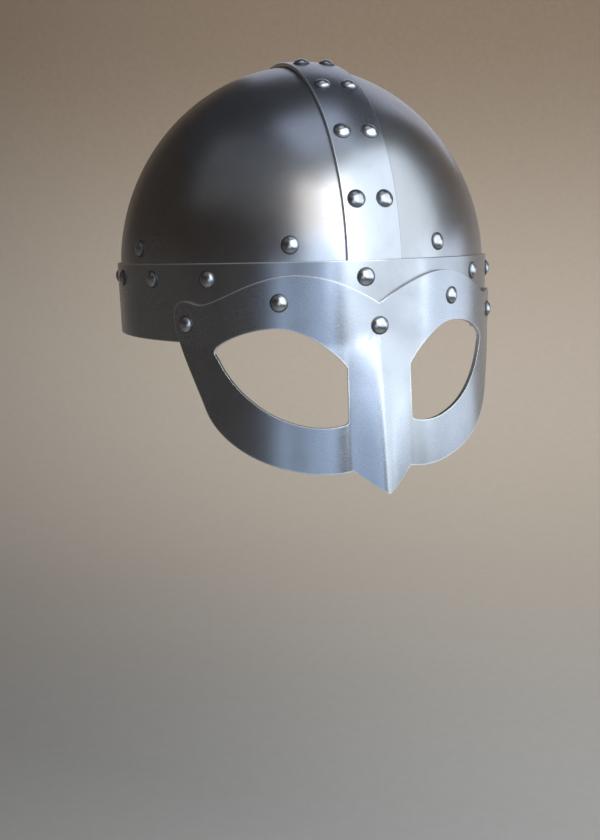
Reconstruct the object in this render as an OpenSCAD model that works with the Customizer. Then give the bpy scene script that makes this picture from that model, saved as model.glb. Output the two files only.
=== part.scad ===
// Riveted iron helmet of the Norse spectacle kind, with its leather lining.
// Millimetres. The origin is the middle of the rim's plane, where the head enters.
// The face looks along -Y, so the wearer's left is +X. The rim is at z = 0.

/* [Bowl] */
// Width over the brow band
helmet_w = 208; // [196:1:216]
// How much longer than wide the brow band is
helmet_longer = 18; // [10:1:30]
// Radius of the plan's front and back ends
end_r = 80; // [72:1:90]
// Height of the dome plates above their spring line
bowl_h = 108; // [96:1:120]
// Height of the spring line above the rim
spring_z = 33; // [30:1:36]
// Power of the profile's curve, where 2 is an ellipse
bowl_power = 1.95; // [1.85:0.05:2.2]
// Thickness of the dome plates
plate_t = 1.6; // [1.2:0.1:2]
// Height of the plates' lower edge above the rim
skirt_z = 1; // [0.5:0.5:3]
// Gap between the two dome plates under the crest
seam_gap = 0.3; // [0.2:0.1:0.6]
// Gap between two iron pieces that lie on each other
lap_gap = 0.2; // [0.15:0.05:0.4]

/* [Crest band] */
// Width of the crest band
crest_w = 27; // [24:1:34]
// Thickness of the crest band
crest_t = 2; // [1.5:0.1:3]
// Distance between the two rows of crest rivets
crest_gauge = 14; // [13:0.5:16]
// Distance between crest rivets along the band
crest_pitch = 36.2; // [34:0.2:38]
// How far the middle pair of crest rivets sits behind the top
crest_shift = 3.2; // [0:0.2:6]
// Number of crest rivets on each side
crest_count = 9; // [7:2:9]

/* [Brow band] */
// Height of the brow band
brow_h = 38; // [36:1:42]
// Thickness of the brow band
brow_t = 1.6; // [1.2:0.1:2.4]
// Height of the row of brow rivets above the rim
brow_rivet_z = 30.5; // [28:0.5:31]
// Distance along the band from the nose line to the first side rivet
brow_first = 76; // [72:1:84]
// Distance along the band between side rivets
brow_pitch = 38; // [34:1:40]
// How far the whole row of brow rivets is moved to the wearer's left
brow_shift = -5.5; // [-6:0.5:6]
// Number of brow rivets on each side
brow_count = 7; // [4:1:7]
// Gap between the band's two ends at the nape
joint_gap = 0.6; // [0.4:0.1:1.5]
// Distance from the nape's line to each rivet of the joint
joint_rivet_s = 6.5; // [6:0.5:8]
// Height of the joint's lower rivets above the rim
joint_rivet_z = 9; // [8:0.5:14]

/* [Spectacle guard] */
// Thickness of the guard
guard_t = 2; // [1.5:0.1:3]
// Distance along the brow from the nose line to a temple lobe's end
guard_reach = 101.5; // [98:0.5:106]
// Height of the brow arches above the rim
arch_z = 32; // [30:0.5:34]
// Height of the notch over the nose
notch_z = 18.5; // [16:0.5:20]
// Depth of the cheek rings below the rim
ring_depth = 60.7; // [56:0.1:66]
// Depth of the nasal's tip below the rim
nasal_depth = 70; // [67:0.5:80]
// Width of the nasal between the eye holes
nasal_w = 30; // [26:1:34]
// Width of each eye hole, along the guard
eye_w = 62.8; // [56:0.2:66]
// Height of the eye holes' top above the rim
eye_top_z = 7.5; // [5:0.5:8]
// Depth of the eye holes below the rim
eye_depth = 38.6; // [34:0.2:42]
// How far the band and the plates behind an eye hole stand back from its edge
eye_clear = 1.2; // [0.6:0.2:2]
// How many times as far they stand back at the hole's outer corner
eye_clear_growth = 3; // [1:0.5:4]
// Outward lean of the guard below the rim, per millimetre
guard_flare = 0.06; // [0:0.01:0.1]
// Height of the nasal's crease at its tip
crease_h = 6.5; // [4:0.5:10]
// Half width of the crease
crease_w = 13; // [10:0.5:14]
// Distance along the brow to each of the guard's brow rivets
guard_mid_s = 45; // [42:0.5:48]
// Height of the guard's brow rivets above the rim
guard_mid_z = 19.5; // [18:0.5:21]
// Distance from a temple lobe's end to its rivet
guard_end_in = 7.5; // [6.5:0.5:9]
// Height of the temple rivets above the rim
guard_end_z = 9.2; // [9:0.2:11]
// Height of the rivet over the nose above the rim
nose_rivet_z = 8.2; // [8:0.2:10]

/* [Rivets] */
// Width of a rivet's head
head_d = 8.6; // [8.2:0.1:10]
// Height of a rivet's head
head_h = 2.2; // [1.8:0.2:4]
// Least space between two heads in a row
head_gap = 1; // [0.5:0.5:2]
// Width of a rivet's shank
shank_d = 4; // [3.5:0.25:4.5]
// Width of the peened inner end
peen_d = 6.4; // [5.5:0.2:7]
// Height of the peened inner end
peen_h = 1.3; // [1:0.1:1.5]
// Clearance round a shank in its hole
hole_gap = 0.15; // [0.1:0.05:0.3]
// Clearance under a peened end
peen_gap = 0.25; // [0.2:0.05:0.4]

/* [Lining] */
// Height of the lining rivets above the rim
lining_z = 45.5; // [44.5:0.5:48]
// How far the front lining rivets sit in front of their tongues' middle
lining_front_in = 2.5; // [0:0.5:6]
// How far the temple lining rivets sit behind their tongues' middle
lining_temple_back = 7.5; // [0:0.5:10]
// Thickness of the leather
leather_t = 2.2; // [1.8:0.1:2.8]
// Clearance between leather and what it lies on
soft_gap = 0.3; // [0.2:0.1:0.5]
// Thickness of the burrs
burr_t = 1; // [0.8:0.1:1.5]
// Width of the burrs
burr_d = 10; // [9:0.5:11]
// Clearance between a burr and the leather
burr_gap = 0.4; // [0.3:0.1:0.8]
// Height of the sweatband's lower edge above the rim
sweat_low_z = 8; // [2:1:12]
// Height of the sweatband's upper edge above the rim
sweat_top_z = 39; // [38:0.5:39.5]
// Height of the tongues' lower edge above the rim
tongue_low_z = 34.5; // [34.2:0.1:36]
// Free space between the lining's crown and the bowl
crown_drop = 30; // [24:1:36]
// Radius of the ring that the thong makes
thong_ring_r = 24; // [21:1:28]
// Width of the thong
thong_d = 2.6; // [2:0.2:3]
// Share of its field that a tongue covers at its foot
foot_share = 0.97; // [0.9:0.01:0.98]
// Share of its field that a tongue covers at its tip
tip_share = 0.66; // [0.6:0.02:0.8]

/* [Hidden] */

steel = "#8c8e93";
steel_bright = "#a9abb0";
steel_rivet = "#b4b3ae";
leather = "#7a5233";
thong_brown = "#4d3423";

// Lining tongues on each side
tongue_count = 4;

// How finely the round forms and the meshes are cut
round_fn = 48;
bowl_cols = 36;
bowl_rows = 16;
crest_cols = 5;
crest_rows = 52;
brow_cols = 144;
sweat_cols = 72;
tongue_cols = 8;
tongue_wall_rows = 2;
tongue_rise_rows = 8;
guard_rings = 5;

// The plan: a small arc at each end and a large one at each side, all tangent
half_w = helmet_w / 2;
half_l = half_w + helmet_longer / 2;
end_c = half_l - end_r;
side_r = (half_w * half_w + end_c * end_c - end_r * end_r) / (2 * (half_w - end_r));
side_c = side_r - half_w;
turn = atan2(side_c, end_c);
end_len = end_r * turn * PI / 180;
half_len = 2 * (end_len + side_r * (90 - turn) * PI / 180);

// Offsets of each layer from the brow band's outer face, outwards positive
plate_out = -(brow_t + lap_gap);
plate_in = plate_out - plate_t;
crest_in = plate_out + lap_gap;
crest_out = crest_in + crest_t;
lining_out = plate_in - soft_gap;
lining_in = lining_out - leather_t;
sweat_out = lining_in - soft_gap;
sweat_in = sweat_out - leather_t;

// The band and the guard step out over the ends of the crest band
step_out = crest_t + lap_gap;
step_from = crest_w / 2 + 2;
step_run = 28;

// Direction that the plan's wall faces at a distance s from the nose line, in degrees
function facing(s) =
    let (u = abs(s))
    sign(s) * (u < end_len ? u / end_r * 180 / PI
        : u < half_len - end_len ? turn + (u - end_len) / side_r * 180 / PI
        : 180 - (half_len - u) / end_r * 180 / PI);

// Point of the plan at that distance, moved outwards by off
function plan(s, off) =
    let (f = facing(s), u = abs(f))
    u < turn ? [(end_r + off) * sin(f), -end_c - (end_r + off) * cos(f)]
        : u < 180 - turn ? [sign(f) * ((side_r + off) * sin(u) - side_c), -(side_r + off) * cos(f)]
        : [(end_r + off) * sin(f), end_c - (end_r + off) * cos(f)];

// Share by which the plan has shrunk at a height z, and the reverse as a point of the profile
function dome_h(off) = bowl_h + off - plate_out;
function dome_k(z, off) =
    z <= spring_z ? 1 : pow(1 - pow((z - spring_z) / dome_h(off), bowl_power), 1 / bowl_power);
function profile(angle) =
    let (c = max(cos(angle), 0), s = sin(angle), r = pow(pow(c, bowl_power) + pow(s, bowl_power), -1 / bowl_power))
    [r * c, r * s];

// Point of the bowl at a distance s round it and a height z
function on_bowl(s, z, off) =
    let (p = plan(s, off) * dome_k(z, off))
    [p.x, p.y, z];

// Share of the plan that passes through a point, seen from above
function plan_share(x, y, off) =
    let (q = x * x + y * y,
        r = end_r + off,
        w = side_r + off,
        a = (sqrt(y * y * end_c * end_c + (r * r - end_c * end_c) * q) - abs(y) * end_c)
            / (r * r - end_c * end_c),
        b = (abs(x) * side_c + sqrt(x * x * side_c * side_c + (w * w - side_c * side_c) * q))
            / (w * w - side_c * side_c),
        past = abs(y) - a * end_c)
    past > 0 && abs(x) < past * tan(turn) ? a : b;

// Distance out to the bowl from the spring line's middle, in the upright slice at x
function slice_reach(x, angle, off, low = 0, high = 300, turns = 26) =
    let (m = (low + high) / 2,
        k = plan_share(x, m * cos(angle), off),
        v = pow(k, bowl_power) + pow(m * sin(angle) / dome_h(off), bowl_power))
    turns == 0 ? m
        : v > 1 ? slice_reach(x, angle, off, low, m, turns - 1)
        : slice_reach(x, angle, off, m, high, turns - 1);
function on_slice(x, angle, off) =
    let (m = slice_reach(x, angle, off))
    [x, -m * cos(angle), spring_z + m * sin(angle)];

// Smooth rise from 0 to 1
function ease(t) = let (u = min(max(t, 0), 1)) u * u * (3 - 2 * u);

// How far the band and the guard stand out over the crest band's ends
function step_at(s) =
    let (u = min(abs(s), half_len - abs(s)))
    step_out * (1 - ease((u - step_from) / step_run));

// Length along the crest's middle line, from its top, as pairs of length and angle
crest_line = [for (i = [0:90]) on_slice(0, 90 - i, crest_out)];
function run_up(i) = i == 0 ? 0 : run_up(i - 1) + norm(crest_line[i] - crest_line[i - 1]);
crest_table = [for (i = [0:90]) [run_up(i), i]];
function crest_angle(d) = 90 - sign(d) * lookup(abs(d), crest_table);

// Outward direction of the bowl at a point
function bowl_value(p, off) =
    pow(plan_share(p.x, p.y, off), bowl_power)
    + pow(max(p.z - spring_z, 0) / dome_h(off), bowl_power);
function bowl_normal(p, off) =
    let (e = 0.05,
        g = [for (v = [[e, 0, 0], [0, e, 0], [0, 0, e]]) bowl_value(p + v, off) - bowl_value(p - v, off)])
    g / norm(g);

// Closed solid between two grids of points, outer and inner, seen from outside with rows
// going up and columns going to the wearer's left
function cell(a, b, c, d) = [[a, c, b], [a, d, c]];
module sheet(outer, inner, ring = false) {
    rows = len(outer);
    cols = len(outer[0]);
    half = rows * cols;
    last = ring ? cols : cols - 1;
    points = concat([for (r = outer) each r], [for (r = inner) each r]);
    function at(r, c, side) = side * half + r * cols + c % cols;
    faces = concat(
        [for (r = [0:rows - 2]) for (c = [0:last - 1])
            each cell(at(r, c, 0), at(r, c + 1, 0), at(r + 1, c + 1, 0), at(r + 1, c, 0))],
        [for (r = [0:rows - 2]) for (c = [0:last - 1])
            each cell(at(r, c + 1, 1), at(r, c, 1), at(r + 1, c, 1), at(r + 1, c + 1, 1))],
        [for (c = [0:last - 1]) each cell(at(0, c, 1), at(0, c + 1, 1), at(0, c + 1, 0), at(0, c, 0))],
        [for (c = [0:last - 1])
            each cell(at(rows - 1, c, 0), at(rows - 1, c + 1, 0), at(rows - 1, c + 1, 1), at(rows - 1, c, 1))],
        ring ? [] : [for (r = [0:rows - 2])
            each cell(at(r, 0, 1), at(r, 0, 0), at(r + 1, 0, 0), at(r + 1, 0, 1))],
        ring ? [] : [for (r = [0:rows - 2])
            each cell(at(r, cols - 1, 0), at(r, cols - 1, 1), at(r + 1, cols - 1, 1), at(r + 1, cols - 1, 0))]);
    polyhedron(points, faces, convexity = 8);
}

// Places of the rivets: each has the point under its head and the direction out, which leans
// with the band where it steps. Side rivets that would meet the joint's are left out.
function step_lean(s) = let (e = 0.1) atan((step_at(s + e) - step_at(s - e)) / (2 * e));
function band_spot(s, z, off) =
    let (p = plan(s, off + step_at(s)), f = facing(s) - step_lean(s))
    [[p.x, p.y, z], [sin(f), -cos(f), 0]];
brow_last = half_len - joint_rivet_s - head_d - head_gap - abs(brow_shift);
brow_side_s = [for (i = [0:brow_count - 1]) let (d = brow_first + i * brow_pitch) if (d < brow_last) d];
brow_s = [for (s = concat([0], [for (d = brow_side_s) each [-d, d]])) s + brow_shift];
brow_spots = [for (s = brow_s) band_spot(s, brow_rivet_z, 0)];
joint_spots = [for (m = [-1, 1]) for (z = [joint_rivet_z, brow_rivet_z])
    band_spot(m * (half_len - joint_rivet_s), z, 0)];
guard_face = lap_gap + guard_t;
guard_end_s = guard_reach - guard_end_in;
nose_spot = band_spot(0, nose_rivet_z, guard_face);
guard_brow_spots = [for (m = [-1, 1]) band_spot(m * guard_mid_s, guard_mid_z, guard_face)];
guard_temple_spots = [for (m = [-1, 1]) band_spot(m * guard_end_s, guard_end_z, guard_face)];
function crest_spot(i, m) =
    let (along = (i - (crest_count - 1) / 2) * crest_pitch - crest_shift,
        p = on_slice(m * crest_gauge / 2, crest_angle(along), crest_out))
    [p, bowl_normal(p, crest_out)];
function crest_spots(m) = [for (i = [0:crest_count - 1]) crest_spot(i, m)];
tongue_s = [for (i = [0:tongue_count - 1]) (i + 0.5) * half_len / tongue_count];
lining_s = tongue_s + [-lining_front_in, lining_temple_back, 0, 0];
lining_spots = [for (s = lining_s) for (m = [-1, 1])
    let (p = on_bowl(m * s, lining_z, plate_out))
    [p, bowl_normal(p, plate_out)]];

// What each rivet grips, from under its head to its peened end, and what the step adds to it
function step_grip(s) = step_at(s) + peen_d / 2 * abs(sin(step_lean(s)));
brow_grip = brow_t + lap_gap + plate_t + peen_gap;
over_crest = crest_t + lap_gap;
guard_grip = guard_t + lap_gap + brow_grip;
crest_grip = crest_t + lap_gap + plate_t + peen_gap;
burr_depth = plate_t + soft_gap + leather_t + burr_gap;
lining_grip = burr_depth + burr_t;

module place(spot) {
    translate(spot[0])
    rotate([0, acos(spot[1].z), atan2(spot[1].y, spot[1].x)])
    children();
}

// Low round cap, flat side down, at z = 0
module cap(d, h) {
    ball = (d * d / 4 + h * h) / (2 * h);
    intersection() {
        translate([0, 0, h - ball]) sphere(r = ball, $fn = round_fn);
        cylinder(d = 2 * d, h = 2 * h, $fn = round_fn);
    }
}

// Rivet with its head's underside at z = 0 and its shank going down
module rivet(grip) {
    lap = 0.2;
    color(steel_rivet)
    union() {
        cap(head_d, head_h);
        translate([0, 0, -grip - lap]) cylinder(d = shank_d, h = grip + 2 * lap, $fn = round_fn);
        translate([0, 0, -grip]) mirror([0, 0, 1]) cap(peen_d, peen_h);
    }
}

module rivets(spots, grip) {
    for (spot = spots) place(spot) rivet(grip);
}

// Holes for shanks, through everything that lies behind the heads
module shank_holes(spots, depth = 14) {
    for (spot = spots)
        place(spot) translate([0, 0, -depth]) cylinder(d = shank_d + 2 * hole_gap, h = 2 * depth, $fn = round_fn);
}

// Pockets in the leather for the peened ends of the rivets that it lies on
module peen_pockets(spots, grip) {
    depth = peen_gap + peen_h + soft_gap;
    for (spot = spots)
        place(spot)
        translate([0, 0, peen_gap - grip - depth])
        cylinder(d = peen_d + 2 * soft_gap, h = depth, $fn = round_fn);
}

// Half of the bowl on the wearer's left, closed to a single point at the crown
function half_row(k, z, off) =
    [for (c = [0:bowl_cols])
        let (p = plan(c / bowl_cols * half_len, off) * k)
        [max(p.x, seam_gap / 2), p.y, z]];
function half_rows(off) = concat(
    [half_row(1, skirt_z, off)],
    [for (r = [0:bowl_rows - 1])
        let (q = profile(90 * r / bowl_rows))
        half_row(q.x, spring_z + dome_h(off) * q.y, off)]);

module half_bowl() {
    rows = bowl_rows + 1;
    cols = bowl_cols + 1;
    half = rows * cols + 1;
    function flat(off) = concat([for (r = half_rows(off)) each r], [[seam_gap / 2, 0, spring_z + dome_h(off)]]);
    function at(r, c, side) = side * half + r * cols + c;
    function top(side) = side * half + rows * cols;
    points = concat(flat(plate_out), flat(plate_in));
    faces = concat(
        [for (r = [0:rows - 2]) for (c = [0:cols - 2])
            each cell(at(r, c, 0), at(r, c + 1, 0), at(r + 1, c + 1, 0), at(r + 1, c, 0))],
        [for (r = [0:rows - 2]) for (c = [0:cols - 2])
            each cell(at(r, c + 1, 1), at(r, c, 1), at(r + 1, c, 1), at(r + 1, c + 1, 1))],
        [for (c = [0:cols - 2]) [at(rows - 1, c, 0), top(0), at(rows - 1, c + 1, 0)]],
        [for (c = [0:cols - 2]) [at(rows - 1, c, 1), at(rows - 1, c + 1, 1), top(1)]],
        [for (c = [0:cols - 2]) each cell(at(0, c, 1), at(0, c + 1, 1), at(0, c + 1, 0), at(0, c, 0))],
        [for (r = [0:rows - 2])
            each cell(at(r, 0, 1), at(r, 0, 0), at(r + 1, 0, 0), at(r + 1, 0, 1))],
        cell(at(rows - 1, 0, 1), at(rows - 1, 0, 0), top(0), top(1)),
        [for (r = [0:rows - 2])
            each cell(at(r, cols - 1, 0), at(r, cols - 1, 1), at(r + 1, cols - 1, 1), at(r + 1, cols - 1, 0))],
        cell(at(rows - 1, cols - 1, 0), at(rows - 1, cols - 1, 1), top(1), top(0)));
    polyhedron(points, faces, convexity = 8);
}

module dome_plate(m) {
    color(steel)
    difference() {
        mirror([m < 0 ? 1 : 0, 0, 0])
        difference() {
            half_bowl();
            eye_arch();
        }
        shank_holes([for (p = concat(brow_spots, joint_spots, [nose_spot], guard_brow_spots,
            guard_temple_spots, lining_spots)) if (m * p[0].x > -shank_d) p]);
        shank_holes(crest_spots(m));
    }
}
module dome_plate_left() { dome_plate(1); }
module dome_plate_right() { dome_plate(-1); }

// The crest band runs over the top and ends behind the brow band
module crest_band() {
    xs = [for (c = [0:crest_cols]) (c / crest_cols - 0.5) * crest_w];
    angles = [for (r = [0:crest_rows]) 180 * r / crest_rows];
    function foot(angle, off) =
        [for (x = xs) let (p = on_slice(x, angle, off)) [p.x, p.y, skirt_z]];
    function rows(off) = concat(
        [foot(0, off)],
        [for (a = angles) [for (x = xs) on_slice(x, a, off)]],
        [foot(180, off)]);
    color(steel_bright)
    difference() {
        sheet(rows(crest_out), rows(crest_in));
        shank_holes(crest_spots(1));
        shank_holes(crest_spots(-1));
        shank_holes([brow_spots[0], nose_spot]);
        shank_holes(joint_spots);
    }
}

// One strip round the rim, butted at the nape over the crest band's end
module brow_band() {
    reach = half_len - joint_gap / 2;
    ss = [for (c = [0:brow_cols]) (2 * c / brow_cols - 1) * reach];
    function row(z, off) = [for (s = ss) let (p = plan(s, off + step_at(s))) [p.x, p.y, z]];
    color(steel_bright)
    difference() {
        sheet([row(0, 0), row(brow_h, 0)], [row(0, -brow_t), row(brow_h, -brow_t)]);
        eye_arch();
        mirror([1, 0, 0]) eye_arch();
        shank_holes(concat(brow_spots, joint_spots, [nose_spot], guard_brow_spots, guard_temple_spots));
    }
}

// The guard's wall follows the brow, leans out below the rim and is creased along the nose, from
// crease_top down. The crease rises fast at first, its flanks are hollow and its ridge is round.
crease_top = 2.5;
crease_rise = 0.55;
crease_hollow = 1.4;
crease_round = 3;
function crease_at(s, z) =
    crease_h * pow(min(max((crease_top - z) / (crease_top + nasal_depth), 0), 1), crease_rise)
    * pow(max(0, 1 - (norm([s, crease_round]) - crease_round) / crease_w), crease_hollow);
function on_guard(s, z, off) =
    let (p = plan(s, lap_gap + off + step_at(s) + guard_flare * max(0, -z) + crease_at(s, z)))
    [p.x, p.y, z];

// The guard's outline, as curves between a start, two handles and an end. The first number of
// a point is its distance along the brow from the nose line, the second is its height.
notch = [0, notch_z];
arch = [38, arch_z];
dip = [guard_reach - 16, arch_z - 13.4];
lobe_top = [guard_reach - 6, arch_z - 11.7];
lobe = [guard_reach, arch_z - 20];
cheek = [guard_reach - 18.5, -ring_depth * 0.52];
ring_low = [27, -ring_depth];
cusp = [13.4, 1.4 - ring_depth];
tip = [0, -nasal_depth];
crease_end = [0, crease_top];
outline = [
    [notch, notch + [11, 7.5], arch + [-14, 0], arch],
    [arch, arch + [19, 0], dip + [-9.5, 0], dip],
    [dip, dip + [3.5, 0], lobe_top + [-4, 0], lobe_top],
    [lobe_top, lobe_top + [3.4, 0], lobe + [0, 4.8], lobe],
    [lobe, lobe + [0, -10], cheek + [7, 16], cheek],
    [cheek, cheek + [-7.5, -16.5], ring_low + [23, 0], ring_low],
    [ring_low, ring_low + [-6, 0], cusp + [3.6, -0.9], cusp],
    [cusp, cusp + [-3.4, -2.2], tip + [4, 2.5], tip],
    [tip, tip * 2 / 3 + crease_end / 3, tip / 3 + crease_end * 2 / 3, crease_end],
    [crease_end, crease_end * 2 / 3 + notch / 3, crease_end / 3 + notch * 2 / 3, notch]];

// The eye hole's outline in shares of its width and height, in step with the outline round it
eye_shape = [
    [[0, 0.6], [0.06, 0.75], [0.28, 1], [0.505, 1]],
    [[0.505, 1], [0.68, 1], [0.87, 0.91], [0.973, 0.816]],
    [[0.973, 0.816], [0.99, 0.8], [1, 0.775], [1, 0.75]],
    [[1, 0.75], [1, 0.73], [0.984, 0.707], [0.968, 0.677]],
    [[0.968, 0.677], [0.912, 0.53], [0.805, 0.36], [0.667, 0.228]],
    [[0.667, 0.228], [0.53, 0.095], [0.363, 0], [0.188, 0]],
    [[0.188, 0], [0.124, 0], [0.061, 0.011], [0.025, 0.028]],
    [[0.025, 0.028], [0.01, 0.035], [0, 0.05], [0, 0.072]],
    [[0, 0.072], [0, 0.218], [0, 0.364], [0, 0.51]],
    [[0, 0.51], [0, 0.54], [0, 0.57], [0, 0.6]]];
curve_steps = [8, 9, 3, 5, 8, 11, 3, 4, 9, 6];
eye_h = eye_top_z + eye_depth;

function curve(q, t) =
    let (u = 1 - t)
    q[0] * u * u * u + q[1] * 3 * u * u * t + q[2] * 3 * u * t * t + q[3] * t * t * t;
function loop(curves) =
    [for (i = [0:len(curves) - 1]) for (j = [0:curve_steps[i] - 1]) curve(curves[i], j / curve_steps[i])];
function eye_point(p) = [nasal_w / 2 + p.x * eye_w, p.y * eye_h - eye_depth];
outer_loop = loop(outline);
eye_loop = [for (p = loop(eye_shape)) eye_point(p)];
loop_n = len(outer_loop);
tip_n = loop_n - curve_steps[8] - curve_steps[9];

// What the brow band and the plates lose behind the left eye hole: the wall under the hole's
// upper edge, from arch_start along its first curve to the hole's outer corner
arch_start = 0.3;
arch_steps = 8;
arch_low_z = -8;
function arch_point(q, t, growth) =
    let (p = eye_point(curve(q, t)), d = p - eye_point(curve(q, t - 0.01)))
    p + eye_clear * (1 + (eye_clear_growth - 1) * growth) * [-d.y, d.x] / norm(d);
arch_edge = concat(
    [for (j = [0:arch_steps]) arch_point(eye_shape[0], arch_start + (1 - arch_start) * j / arch_steps, 0)],
    [for (j = [1:arch_steps]) arch_point(eye_shape[1], j / arch_steps, j / arch_steps)],
    [arch_point(eye_shape[2], 1, 1)]);
module eye_arch() {
    function rows(off) = [
        [for (e = arch_edge) let (p = plan(e.x, off)) [p.x, p.y, arch_low_z]],
        [for (e = arch_edge) let (p = plan(e.x, off)) [p.x, p.y, e.y]]];
    sheet(rows(step_out + brow_t), rows(plate_in - plate_t / 2));
}

module guard_plate() {
    layer = (guard_rings + 1) * loop_n;
    function ring_point(r, i) =
        let (t = r / guard_rings)
        eye_loop[i] * (1 - t) + outer_loop[i] * t;
    function layer_points(m, off) =
        [for (r = [0:guard_rings]) for (i = [0:loop_n - 1])
            let (p = ring_point(r, i)) on_guard(m * p.x, p.y, off)];
    points = concat(
        layer_points(1, guard_t), layer_points(1, 0), layer_points(-1, guard_t), layer_points(-1, 0));
    // Both halves share the points on the nose line
    function at(m, side, r, i) =
        let (j = i % loop_n, shared = r == guard_rings && (j >= tip_n || j == 0))
        (shared ? 0 : m) * 2 * layer + side * layer + r * loop_n + j;
    function turned(m, f) = m == 0 ? f : [for (t = f) [t[0], t[2], t[1]]];
    faces = [for (m = [0, 1]) each turned(m, concat(
        [for (r = [0:guard_rings - 1]) for (i = [0:loop_n - 1])
            each cell(at(m, 0, r, i), at(m, 0, r, i + 1), at(m, 0, r + 1, i + 1), at(m, 0, r + 1, i))],
        [for (r = [0:guard_rings - 1]) for (i = [0:loop_n - 1])
            each cell(at(m, 1, r, i + 1), at(m, 1, r, i), at(m, 1, r + 1, i), at(m, 1, r + 1, i + 1))],
        [for (i = [0:loop_n - 1])
            each cell(at(m, 1, 0, i), at(m, 1, 0, i + 1), at(m, 0, 0, i + 1), at(m, 0, 0, i))],
        [for (i = [0:tip_n - 1])
            each cell(at(m, 0, guard_rings, i), at(m, 0, guard_rings, i + 1),
                at(m, 1, guard_rings, i + 1), at(m, 1, guard_rings, i))]))];
    polyhedron(points, faces, convexity = 10);
}

module spectacle_guard() {
    color(steel)
    difference() {
        guard_plate();
        shank_holes(concat([nose_spot], guard_brow_spots, guard_temple_spots));
    }
}

module crest_rivets_left() { rivets(crest_spots(1), crest_grip); }
module crest_rivets_right() { rivets(crest_spots(-1), crest_grip); }
module brow_rivets() {
    for (i = [0:len(brow_s) - 1]) rivets([brow_spots[i]], brow_grip + step_grip(brow_s[i]));
}
module brow_joint_rivets() { rivets(joint_spots, brow_grip + over_crest); }
module guard_nose_rivet() { rivets([nose_spot], guard_grip + over_crest); }
module guard_brow_rivets() { rivets(guard_brow_spots, guard_grip + step_grip(guard_mid_s)); }
module guard_temple_rivets() { rivets(guard_temple_spots, guard_grip); }
module lining_rivets() { rivets(lining_spots, lining_grip); }

// A washer under each lining rivet's peened end
module lining_burrs() {
    color(steel_bright)
    for (spot = lining_spots)
        place(spot)
        translate([0, 0, -lining_grip])
        difference() {
            cylinder(d = burr_d, h = burr_t, $fn = round_fn);
            translate([0, 0, -burr_t])
            cylinder(d = shank_d + 2 * hole_gap, h = 3 * burr_t, $fn = round_fn);
        }
}

// The leather strip that lies round the head, inside the tongues' feet
module sweatband() {
    zs = [sweat_low_z, spring_z, (spring_z + sweat_top_z) / 2, sweat_top_z];
    ss = [for (c = [0:sweat_cols - 1]) (2 * c / sweat_cols - 1) * half_len];
    function rows(off) = [for (z = zs) [for (s = ss) on_bowl(s, z, off)]];
    color(leather) sheet(rows(sweat_out), rows(sweat_in), ring = true);
}

// A tongue stands against the bowl up to wall_z, then curves in to a hem round the thong.
// The curve's handles are as long as rise_h upwards and reach rise_k of the plan at the top.
wall_z = lining_z + 7;
rise_h = 26;
rise_k = 0.72;
crown_z = spring_z + dome_h(plate_in) - crown_drop;
hem_r = thong_d / 2 + soft_gap + leather_t;
hem_lap = 0.3;
hem_z = crown_z - hem_r + hem_lap;
tip_r = thong_ring_r + 0.4 * hem_r;

function rise(t, off) =
    let (k = dome_k(wall_z, off),
        lean = dome_k(wall_z - 1, off) - k,
        top = crown_z + off - lining_out)
    curve([[k, wall_z], [k - rise_h * lean, wall_z + rise_h], [rise_k, top], [tip_r / half_l, top]], t);
tongue_rows = concat(
    [for (i = [0:tongue_wall_rows]) tongue_low_z + (wall_z - tongue_low_z) * i / tongue_wall_rows],
    [for (i = [1:tongue_rise_rows]) wall_z + i]);

// Point of a tongue: row i, share v of its width from -1 to 1
function on_tongue(s, i, v, off) =
    let (t = (i - tongue_wall_rows) / tongue_rise_rows,
        share = foot_share + (tip_share - foot_share) * ease(t / 0.7),
        at_s = s + v * share * half_len / tongue_count / 2)
    t <= 0 ? on_bowl(at_s, tongue_rows[i], off)
        : let (q = rise(t, off),
            p = plan(at_s, off) * q.x,
            f = atan2(p.y, p.x),
            m = norm(p) * (1 - pow(t, 4)) + tip_r * pow(t, 4))
        [m * cos(f), m * sin(f), q.y];

module tongue(i, m) {
    s = m * tongue_s[i];
    function rows(off) = [for (r = [0:tongue_wall_rows + tongue_rise_rows])
        [for (c = [0:tongue_cols]) on_tongue(s, r, 2 * c / tongue_cols - 1, off)]];
    ends = [for (v = [-1, 1]) let (p = on_tongue(s, tongue_wall_rows + tongue_rise_rows, v, lining_out))
        atan2(p.y, p.x)];
    sweep = (ends[1] - ends[0] + 720) % 360;
    color(leather)
    difference() {
        union() {
            sheet(rows(lining_out), rows(lining_in));
            rotate([0, 0, ends[0]])
            rotate_extrude(angle = sweep, $fn = 2 * round_fn)
            translate([thong_ring_r, hem_z])
            difference() {
                circle(r = hem_r, $fn = round_fn);
                circle(r = hem_r - leather_t, $fn = round_fn);
            }
        }
        shank_holes([lining_spots[2 * i + (m < 0 ? 0 : 1)]]);
        if (i == 0 || i == tongue_count - 1) peen_pockets(crest_spots(m), crest_grip);
    }
}
module tongue_front_left() { tongue(0, 1); }
module tongue_temple_left() { tongue(1, 1); }
module tongue_ear_left() { tongue(2, 1); }
module tongue_back_left() { tongue(3, 1); }
module tongue_front_right() { tongue(0, -1); }
module tongue_temple_right() { tongue(1, -1); }
module tongue_ear_right() { tongue(2, -1); }
module tongue_back_right() { tongue(3, -1); }

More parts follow.
